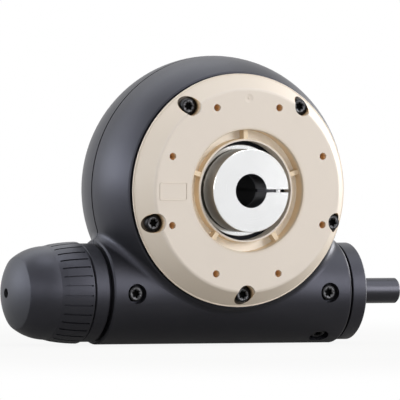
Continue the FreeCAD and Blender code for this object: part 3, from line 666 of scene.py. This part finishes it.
def screw_measure(points):
    """Head top, axis towards the head, length, head radius and shank radius of one screw's points."""
    middle = points.mean(axis=0)

    # The axis is the direction whose spread stands apart from the other two
    spread, axes = np.linalg.eigh(np.cov((points - middle).T))
    lone = 0 if spread[1] - spread[0] > spread[2] - spread[1] else 2
    axis = axes[:, lone]
    along = (points - middle) @ axis
    out = np.linalg.norm(points - middle - np.outer(along, axis), axis=1)

    # The head is the widest part, and the axis points towards it
    if along[out > HEAD_SHARE * out.max()].mean() < 0:
        axis, along = -axis, -along
    length = along.max() - along.min()
    shank_r = out[along < along.min() + SHANK_SHARE * length].max()
    return ScrewMeasure(middle + axis * along.max(), axis, length, out.max(), shank_r)


# Cap screws: sizes given to the nodes, sides, lobes, bevels, rounded edge, smooth shading, random turn
SCREW_SIZES = ("Head radius", "Head height", "Shank radius", "Length", "Head edge",
               "Recess radius", "Lobe depth", "Recess depth", "Countersink")
SCREW_SIDES = 96
SCREW_LOBES = 6
TIP_BEVEL = 0.6 * MM
SEAT_BEVEL = 0.15 * MM
EDGE_MIDDLE = 0.29
RING_START = 1.5
SMOOTH_ANGLE = math.radians(32)
TURN_SEED = 7


def screw_outline(size):
    """The outline of a screw from its tip up the side, over the top and down the recess.

    Each row holds a radius, a height, a lobe depth and the rim, 1 on the flat ring and -1 in the recess.
    """
    head, height, shank, length, edge, recess, lobe, depth, sink = (size[name] for name in SCREW_SIZES)
    return (
        (0.0, -1 * length, 0.0, 0.0),
        (shank - TIP_BEVEL, -1 * length, 0.0, 0.0),
        (shank, TIP_BEVEL - length, 0.0, 0.0),
        (shank, -1 * height, 0.0, 0.0),
        (head - SEAT_BEVEL, -1 * height, 0.0, 0.0),
        (head, SEAT_BEVEL - height, 0.0, 0.0),
        (head, -1 * edge, 0.0, 0.0),
        (head - EDGE_MIDDLE * edge, -EDGE_MIDDLE * edge, 0.0, 0.0),
        (head - edge, 0.0, 0.0, 0.0),
        (head - RING_START * edge, 0.0, 0.0, 1.0),
        (recess + lobe + sink, 0.0, 0.0, 1.0),
        (recess, -1 * sink, lobe, 0.0),
        (recess, -1 * depth, lobe, -1.0),
        (0.0, -1 * depth - sink, 0.0, -1.0),
    )


def screw_shape(tree, size):
    """One screw with the top of its head at the origin: a grid wrapped round the axis by the outline."""
    outline = screw_outline(size)
    rows = len(outline)
    grid = tree.add("GeometryNodeMeshGrid", None, {"Vertices X": SCREW_SIDES + 1, "Vertices Y": rows})

    # Row and column of each point, with a part of a step added so that they round down safely
    index = tree.add("GeometryNodeInputIndex")
    column = tree.math("FLOOR", (index + 0.5) / rows)
    row = index - column * rows + 0.25
    radius, height, lobe, rim = (
        tree.add("GeometryNodeIndexSwitch", {"data_type": "FLOAT", "items": rows},
                 dict(enumerate((row, *values))))
        for values in zip(*outline))
    angle = column * (2 * math.pi / SCREW_SIDES)
    radius = radius + lobe * tree.math("COSINE", angle * SCREW_LOBES)
    place = tree.add("ShaderNodeCombineXYZ", None, {
        0: radius * tree.math("COSINE", angle), 1: radius * tree.math("SINE", angle), 2: height})
    shape = tree.add("GeometryNodeStoreNamedAttribute", {"data_type": "FLOAT", "domain": "POINT"}, {
        "Geometry": grid, "Name": "rim", "Value": rim})
    shape = tree.add("GeometryNodeSetPosition", None, {"Geometry": shape, "Position": place})
    shape = tree.add("GeometryNodeMergeByDistance", None, {"Geometry": shape, "Distance": ONE_POINT})
    shape = tree.add("GeometryNodeSetShadeSmooth", {"domain": "FACE"}, {0: shape, "Shade Smooth": True})
    bend = tree.add("GeometryNodeInputMeshEdgeAngle")
    sharp = tree.math("GREATER_THAN", bend, SMOOTH_ANGLE)
    return tree.add("GeometryNodeSetShadeSmooth", {"domain": "EDGE"}, {
        0: shape, "Selection": sharp, "Shade Smooth": False})


def set_on_points(tree, points, shape):
    """A shape at each point, along the point's axis and turned at random by up to one lobe."""
    axis = tree.add("GeometryNodeInputNamedAttribute", {"data_type": "FLOAT_VECTOR"}, {"Name": "axis"})
    facing = tree.add("FunctionNodeAlignRotationToVector", {"axis": "Z"}, {"Vector": axis})
    turn = tree.add("FunctionNodeRandomValue", {"data_type": "FLOAT"}, {
        RANDOM_LEAST: 0.0, RANDOM_MOST: 2 * math.pi / SCREW_LOBES, "Seed": TURN_SEED}, RANDOM_RESULT)
    spin = tree.add("FunctionNodeEulerToRotation", None, {
        0: tree.add("ShaderNodeCombineXYZ", None, {2: turn})})
    facing = tree.add("FunctionNodeRotateRotation", {"rotation_space": "LOCAL"}, {0: facing, 1: spin})
    return tree.add("GeometryNodeInstanceOnPoints", None, {
        "Points": points, "Instance": shape, "Rotation": facing})


def cap_screw_tree():
    """Geometry nodes that set a six-lobe cap screw at each point, turned to the point's axis."""
    group = bpy.data.node_groups.new("cap_screws", "GeometryNodeTree")
    group.interface.new_socket("Geometry", in_out="INPUT", socket_type="NodeSocketGeometry")
    for name in SCREW_SIZES:
        group.interface.new_socket(name, in_out="INPUT", socket_type="NodeSocketFloat").subtype = "DISTANCE"
    group.interface.new_socket("Material", in_out="INPUT", socket_type="NodeSocketMaterial")
    group.interface.new_socket("Geometry", in_out="OUTPUT", socket_type="NodeSocketGeometry")
    tree = Tree(group)
    given = group.nodes.new("NodeGroupInput")
    size = {name: Value(tree, given.outputs[name]) for name in SCREW_SIZES}
    screws = set_on_points(tree, Value(tree, given.outputs["Geometry"]), screw_shape(tree, size))
    screws = tree.add("GeometryNodeRealizeInstances", None, {0: screws})
    screws = tree.add("GeometryNodeSetMaterial", None, {
        "Geometry": screws, "Material": Value(tree, given.outputs["Material"])})
    result = group.nodes.new("NodeGroupOutput")
    tree.put(result.inputs["Geometry"], screws)
    return group


def place_screws(group, node, sizes, material):
    """A plain mesh of cap screws where a CAD node's screws stand, one batch for each length."""
    batches = {}
    for points in separate_solids(node):
        measure = screw_measure(points)
        batches.setdefault(round(measure.length / MM, 1), []).append(measure)
    shell = bmesh.new()
    for length in sorted(batches):
        made = screw_batch(group, node, batches[length], sizes, material)
        shell.from_mesh(made)
        bpy.data.meshes.remove(made)
    mesh = bpy.data.meshes.new(node)
    shell.to_mesh(mesh)
    shell.free()
    mesh.materials.append(material)
    return mesh


def screw_batch(group, node, measures, sizes, material):
    """A plain mesh of the screws of one length."""
    cloud = bpy.data.meshes.new(node + "_points")
    cloud.from_pydata([measure.top for measure in measures], [], [])
    cloud.attributes.new("axis", "FLOAT_VECTOR", "POINT")
    axes = np.array([measure.axis for measure in measures])
    cloud.attributes["axis"].data.foreach_set("vector", axes.ravel())
    carrier = bpy.data.objects.new(node + "_points", cloud)
    bpy.context.scene.collection.objects.link(carrier)
    modifier = carrier.modifiers.new("screws", "NODES")
    modifier.node_group = group
    head_r, shank_r, length = (
        max(getattr(measure, name) for measure in measures) for name in ("head_r", "shank_r", "length"))
    values = dict(zip(SCREW_SIZES, (
        head_r, sizes.head_height, shank_r, length, sizes.edge, sizes.recess_r, sizes.lobe,
        sizes.recess_depth, sizes.countersink)))
    values["Material"] = material
    for item in group.interface.items_tree:
        if item.in_out == "INPUT" and item.name in values:
            modifier[item.identifier] = values[item.name]
    made = plain_mesh(carrier)
    bpy.data.objects.remove(carrier)
    return made


def plain_mesh(carrier):
    """The carrier's evaluated shape as a mesh without modifiers."""
    graph = bpy.context.evaluated_depsgraph_get()
    graph.update()
    return bpy.data.meshes.new_from_object(carrier.evaluated_get(graph))


def new_piece(name, mesh, body):
    """An object at the origin that moves with a body and takes its finish from a slot."""
    piece = bpy.data.objects.new(name, mesh)
    bpy.context.scene.collection.objects.link(piece)
    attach(piece, body)
    return piece


# Badge frame: steps to a rounded corner, share of the line under each slope, and the least corner radius
CORNER_STEPS = 6
SLOPE_SHARE = 0.15
LEAST_CORNER = 0.1 * MM


def rounded_rectangle(width, height, corner):
    """Points of a rounded rectangle about the origin, counter-clockwise."""
    points = []
    for quarter, (side_x, side_z) in enumerate(((1, 1), (-1, 1), (-1, -1), (1, -1))):
        for i in range(CORNER_STEPS + 1):
            angle = math.pi / 2 * (quarter + i / CORNER_STEPS)
            points.append((side_x * (width / 2 - corner) + corner * math.cos(angle),
                           side_z * (height / 2 - corner) + corner * math.sin(angle)))
    return points


def badge_mesh(sizes, face_y):
    """A raised line round a bare place: a closed ring with sloping sides, sunk into the face."""
    slope = SLOPE_SHARE * sizes.line
    section = ((0.0, -sizes.relief), (slope, sizes.relief), (sizes.line - slope, sizes.relief),
               (sizes.line, -sizes.relief))
    shell = bmesh.new()
    loops = []
    for inset, rise in section:
        corner = max(sizes.corner - inset, LEAST_CORNER)
        outline = rounded_rectangle(sizes.width - 2 * inset, sizes.height - 2 * inset, corner)
        loops.append([shell.verts.new((sizes.x + u, face_y - rise, sizes.z + v)) for u, v in outline])
    count = len(loops[0])
    for first, second in zip(loops, loops[1:] + loops[:1]):
        for i in range(count):
            shell.faces.new((first[i], first[(i + 1) % count], second[(i + 1) % count], second[i]))
    bmesh.ops.recalc_face_normals(shell, faces=shell.faces)
    mesh = bpy.data.meshes.new("badge_frame")
    shell.to_mesh(mesh)
    shell.free()
    return mesh


# Whites: the plain one, and the cooler one of some of the lamps
WHITE = (1.0, 1.0, 1.0)
COOL = (0.93, 0.965, 1.0)

# Softboxes: name, colour, azimuth from the front towards +X, elevation, width, height and power
Lamp = namedtuple("Lamp", "name colour azimuth elevation width height power")
LAMPS = (
    Lamp("front_strip", WHITE, 37.0, 14.5, 0.45, 0.8, 14.0),
    Lamp("front_high", WHITE, 36.0, 40.0, 0.5, 0.7, 2.2),
    Lamp("front_low", WHITE, 2.0, 9.0, 0.35, 0.3, 1.8),
    Lamp("front_left", WHITE, -30.0, 14.0, 0.6, 0.6, 2.2),
    Lamp("left_side", WHITE, -64.0, 14.0, 0.6, 0.6, 3.2),
    Lamp("left_low", COOL, -110.0, 12.0, 1.3, 0.5, 15.5),
    Lamp("left_high", COOL, -122.0, 35.0, 0.9, 0.7, 5.3),
    Lamp("right_edge", WHITE, 103.0, 15.0, 0.7, 0.8, 19.0),
    Lamp("right_high", COOL, 70.0, 55.0, 1.0, 0.9, 6.7),
    Lamp("rear_high", COOL, 180.0, 57.0, 1.4, 0.9, 6.7),
    Lamp("overhead", COOL, 0.0, 88.0, 0.7, 0.6, 5.0),
)
LAMP_DISTANCE = 1.5

# Floor: its size, the gap under the object, its own tone, and how much of that tone shows, to which distance
FLOOR_R = 30.0
FLOOR_SIDES = 64
FLOOR_DROP = 0.02 * MM
PALE = (0.45, 0.43, 0.39)
SHADOW_SHARE = 0.10
SHADOW_REACH = (0.15, 0.45)
MIRRORED_SHARE = 0.9
MIRRORED_REACH = (0.14, 0.24)

# Camera
SENSOR_WIDTH = 36.0
CLIP_END = 200.0


def direction(azimuth, elevation):
    """The unit vector from the object towards a place in the studio."""
    flat = math.cos(elevation)
    return Vector((math.sin(azimuth) * flat, -math.cos(azimuth) * flat, math.sin(elevation)))


def seen_straight(tree):
    """1 for rays from the camera, from glossy surfaces and through glass, 0 for the light on things.

    A second value is 1 for the glossy rays alone.
    """
    path = tree.tree.nodes.new("ShaderNodeLightPath")
    straight, glossy, through = (Value(tree, path.outputs[name]) for name in (
        "Is Camera Ray", "Is Glossy Ray", "Is Transmission Ray"))
    return tree.math("MAXIMUM", tree.math("MAXIMUM", straight, glossy), through), glossy


def add_lamp(lamp, strength, target):
    """A softbox that faces a target and stays out of the camera's sight."""
    data = bpy.data.lights.new(lamp.name, "AREA")
    data.shape = "RECTANGLE"
    data.size = lamp.width
    data.size_y = lamp.height
    data.energy = lamp.power * strength
    data.color = lamp.colour
    softbox = bpy.data.objects.new(lamp.name, data)
    towards = direction(math.radians(lamp.azimuth), math.radians(lamp.elevation))
    turn = towards.to_track_quat("Z", "Y").to_matrix().to_4x4()
    softbox.matrix_world = Matrix.Translation(target + towards * LAMP_DISTANCE) @ turn
    softbox.visible_camera = False
    bpy.context.scene.collection.objects.link(softbox)


def add_floor(height):
    """A pale floor that looks white and keeps a soft shadow; near the object, reflections show its tone."""
    shell = bmesh.new()
    bmesh.ops.create_circle(shell, cap_ends=True, segments=FLOOR_SIDES, radius=FLOOR_R)
    bmesh.ops.translate(shell, verts=shell.verts, vec=(0, 0, height))
    mesh = bpy.data.meshes.new("floor")
    shell.to_mesh(mesh)
    shell.free()
    floor = bpy.data.objects.new("floor", mesh)
    bpy.context.scene.collection.objects.link(floor)
    material = bpy.data.materials.new("floor")
    material.use_nodes = True
    tree = Tree(material.node_tree)
    material.node_tree.nodes.clear()
    matte = tree.add("ShaderNodeBsdfDiffuse", None, {"Color": PALE})
    glow = tree.add("ShaderNodeEmission", None, {"Color": WHITE, "Strength": 1.0})
    x, y, _ = tree.parts(tree.add("ShaderNodeTexCoord", output="Object"))
    away = tree.length(x, y)
    seen, glossy = seen_straight(tree)
    shadow = SHADOW_SHARE * (1 - tree.step(away, *SHADOW_REACH))
    mirrored = MIRRORED_SHARE * (1 - tree.step(away, *MIRRORED_REACH)) * glossy
    white = (1 - tree.math("MAXIMUM", shadow, mirrored)) * seen
    surface = tree.add("ShaderNodeMixShader", None, {0: white, 1: matte, 2: glow})
    output = material.node_tree.nodes.new("ShaderNodeOutputMaterial")
    tree.put(output.inputs["Surface"], surface)
    mesh.materials.append(material)


def add_world(ambient):
    """White where it is seen, and a plain level of light on the object."""
    world = bpy.data.worlds.new("studio")
    world.use_nodes = True
    tree = Tree(world.node_tree)
    backdrop = world.node_tree.nodes["Background"]
    seen, _ = seen_straight(tree)
    tree.put(backdrop.inputs["Color"], WHITE)
    tree.put(backdrop.inputs["Strength"], seen + (1 - seen) * ambient)
    bpy.context.scene.world = world


def add_camera(studio):
    """The camera that sees the object as the picture does, with no shift."""
    back = direction(studio.yaw, studio.elevation)
    right = Vector((math.cos(studio.yaw), math.sin(studio.yaw), 0.0))
    up = back.cross(right)
    tilt = Matrix.Rotation(studio.roll, 3, back)
    right, up = tilt @ right, tilt @ up
    scale = studio.pixels_per_mm / MM
    across, down = (PICTURE_SIDE / 2 - px for px in studio.axis_px)
    location = back * studio.distance
    aim = right * (across / scale) - up * (down / scale)
    look = (location - aim).normalized()
    side = (right - look * right.dot(look)).normalized()
    data = bpy.data.cameras.new("camera")
    data.sensor_width = SENSOR_WIDTH
    data.lens = scale * studio.distance * SENSOR_WIDTH / PICTURE_SIDE
    data.clip_end = CLIP_END
    camera = bpy.data.objects.new("camera", data)
    turn = Matrix((side, look.cross(side), look)).transposed().to_4x4()
    camera.matrix_world = Matrix.Translation(location) @ turn
    bpy.context.scene.collection.objects.link(camera)
    bpy.context.scene.camera = camera


# Steps that dress the reducer

class REDUCER_OT_housing(bpy.types.Operator):
    """Satin black finish for the housing shells and the bearing carriers"""

    bl_idname = "reducer.housing"
    bl_label = "Housing"

    def execute(self, context):
        colours = context.scene.reducer_colours
        black = black_moulding("housing_plastic", colours.housing, roughness=0.42, seam_y=WORM_AXIS.y)
        dress(black, "front_housing", "rear_housing", "left_bearing_carrier", "right_bearing_carrier")
        return {"FINISHED"}


class REDUCER_OT_flange(bpy.types.Operator):
    """Cream finish for the bearing flange and the bushes, and the bare badge frame"""

    bl_idname = "reducer.flange"
    bl_label = "Bearing flange"

    def execute(self, context):
        colours = context.scene.reducer_colours
        cream = cream_moulding("flange_polymer", colours)
        dress(cream, "bearing_flange")
        turned = turned_polymer("bush_polymer", colours.cream)
        dress(turned, "rear_bearing_bush", "left_worm_bush", "right_worm_bush")
        face_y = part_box("bearing_flange")[0].y
        mesh = badge_mesh(context.scene.reducer_badge, face_y)
        mesh.materials.append(cream)
        new_piece("badge_frame", mesh, "housing")
        return {"FINISHED"}


class REDUCER_OT_output(bpy.types.Operator):
    """Turned aluminium for the clamp hub and black polymer for the worm wheel"""

    bl_idname = "reducer.output"
    bl_label = "Output hub and wheel"

    def execute(self, context):
        colours = context.scene.reducer_colours
        aluminium = turned_metal(
            "hub_aluminium", colours.aluminium, roughness=0.10, axis_radius=Finish.ring_radius, along="y",
            pitch=0.16 * MM, cut_gloss=0.04, zones=hub_painted_zones)
        dress(aluminium, "output_hub")
        black = black_moulding("wheel_polymer", colours.housing, roughness=0.38, grain=0.5 * MM, sheen=0.08)
        dress(black, "worm_wheel")
        return {"FINISHED"}


class REDUCER_OT_worm(bpy.types.Operator):
    """Dark anodised worm shaft, ground washers and the black grip knob"""

    bl_idname = "reducer.worm"
    bl_label = "Worm and knob"

    def execute(self, context):
        colours = context.scene.reducer_colours
        anodised = turned_metal(
            "shaft_aluminium", colours.anodised, roughness=0.36, axis_radius=Finish.worm_radius, along="x",
            pitch=0.2 * MM)
        dress(anodised, "worm_shaft")
        ground = turned_metal(
            "washer_steel", colours.steel, roughness=0.28, axis_radius=Finish.worm_radius, along="x",
            pitch=0.12 * MM)
        dress(ground, "left_thrust_washer", "right_thrust_washer")
        black = black_moulding("knob_plastic", colours.knob, roughness=0.40, sheen=0.55, end_x=KNOB_END_X)
        dress(black, "grip_knob")
        return {"FINISHED"}


class REDUCER_OT_screws(bpy.types.Operator):
    """Six-lobe cap screws in place of the hexagon-socket ones, and bright steel for the clamp screw"""

    bl_idname = "reducer.screws"
    bl_label = "Screws"

    def execute(self, context):
        colours = context.scene.reducer_colours
        sizes = context.scene.reducer_screws
        black = blackened_steel("screw_black", colours.blackened, colours.painted_ring_highlight)
        group = cap_screw_tree()
        nodes = {"flange_screws": "housing", "housing_screws": "housing", "left_carrier_screw": "housing",
                 "right_carrier_screws": "housing", "hub_screws": "output"}
        for node, body in nodes.items():
            mesh = place_screws(group, node, sizes, black)
            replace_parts(new_piece("six_lobe_" + node, mesh, body), node)
        bright = turned_metal(
            "clamp_steel", colours.steel, roughness=0.25, axis_radius=Finish.ring_radius, along="z",
            pitch=0.3 * MM)
        dress(bright, "clamp_screw")
        return {"FINISHED"}


class REDUCER_OT_stage(bpy.types.Operator):
    """Pale floor, soft studio light and the camera"""

    bl_idname = "reducer.stage"
    bl_label = "Studio"

    def execute(self, context):
        studio = context.scene.reducer_studio
        target = (CAD_LOW + CAD_HIGH) / 2
        for lamp in LAMPS:
            add_lamp(lamp, studio.light, target)
        add_floor(CAD_LOW.z - FLOOR_DROP)
        add_world(studio.ambient)
        add_camera(studio)
        context.scene.view_settings.view_transform = "Standard"
        return {"FINISHED"}


OPERATORS = (REDUCER_OT_housing, REDUCER_OT_flange, REDUCER_OT_output, REDUCER_OT_worm, REDUCER_OT_screws,
             REDUCER_OT_stage)


class REDUCER_PT_panel(bpy.types.Panel):
    """The steps that dress the reducer, in order"""

    bl_idname = "REDUCER_PT_panel"
    bl_label = "Gear reducer"
    bl_space_type = "VIEW_3D"
    bl_region_type = "UI"
    bl_category = "Reducer"

    def draw(self, context):
        for operator in OPERATORS:
            self.layout.operator(operator.bl_idname)


SETTINGS = {"reducer_screws": ScrewSizes, "reducer_badge": BadgeSizes, "reducer_colours": FinishColours,
            "reducer_studio": StudioSettings}


def register():
    """Registers the classes and gives the scene its settings."""
    for kind in (*SETTINGS.values(), *OPERATORS, REDUCER_PT_panel):
        bpy.utils.register_class(kind)
    for name, kind in SETTINGS.items():
        setattr(bpy.types.Scene, name, bpy.props.PointerProperty(type=kind))


def unregister():
    """Takes away what register gave."""
    for name in SETTINGS:
        delattr(bpy.types.Scene, name)
    for kind in (REDUCER_PT_panel, *reversed(OPERATORS), *SETTINGS.values()):
        bpy.utils.unregister_class(kind)


def main():
    """Dresses the reducer step by step."""
    register()
    bpy.ops.reducer.housing()
    bpy.ops.reducer.flange()
    bpy.ops.reducer.output()
    bpy.ops.reducer.worm()
    bpy.ops.reducer.screws()
    bpy.ops.reducer.stage()


if __name__ == "__main__":
    main()
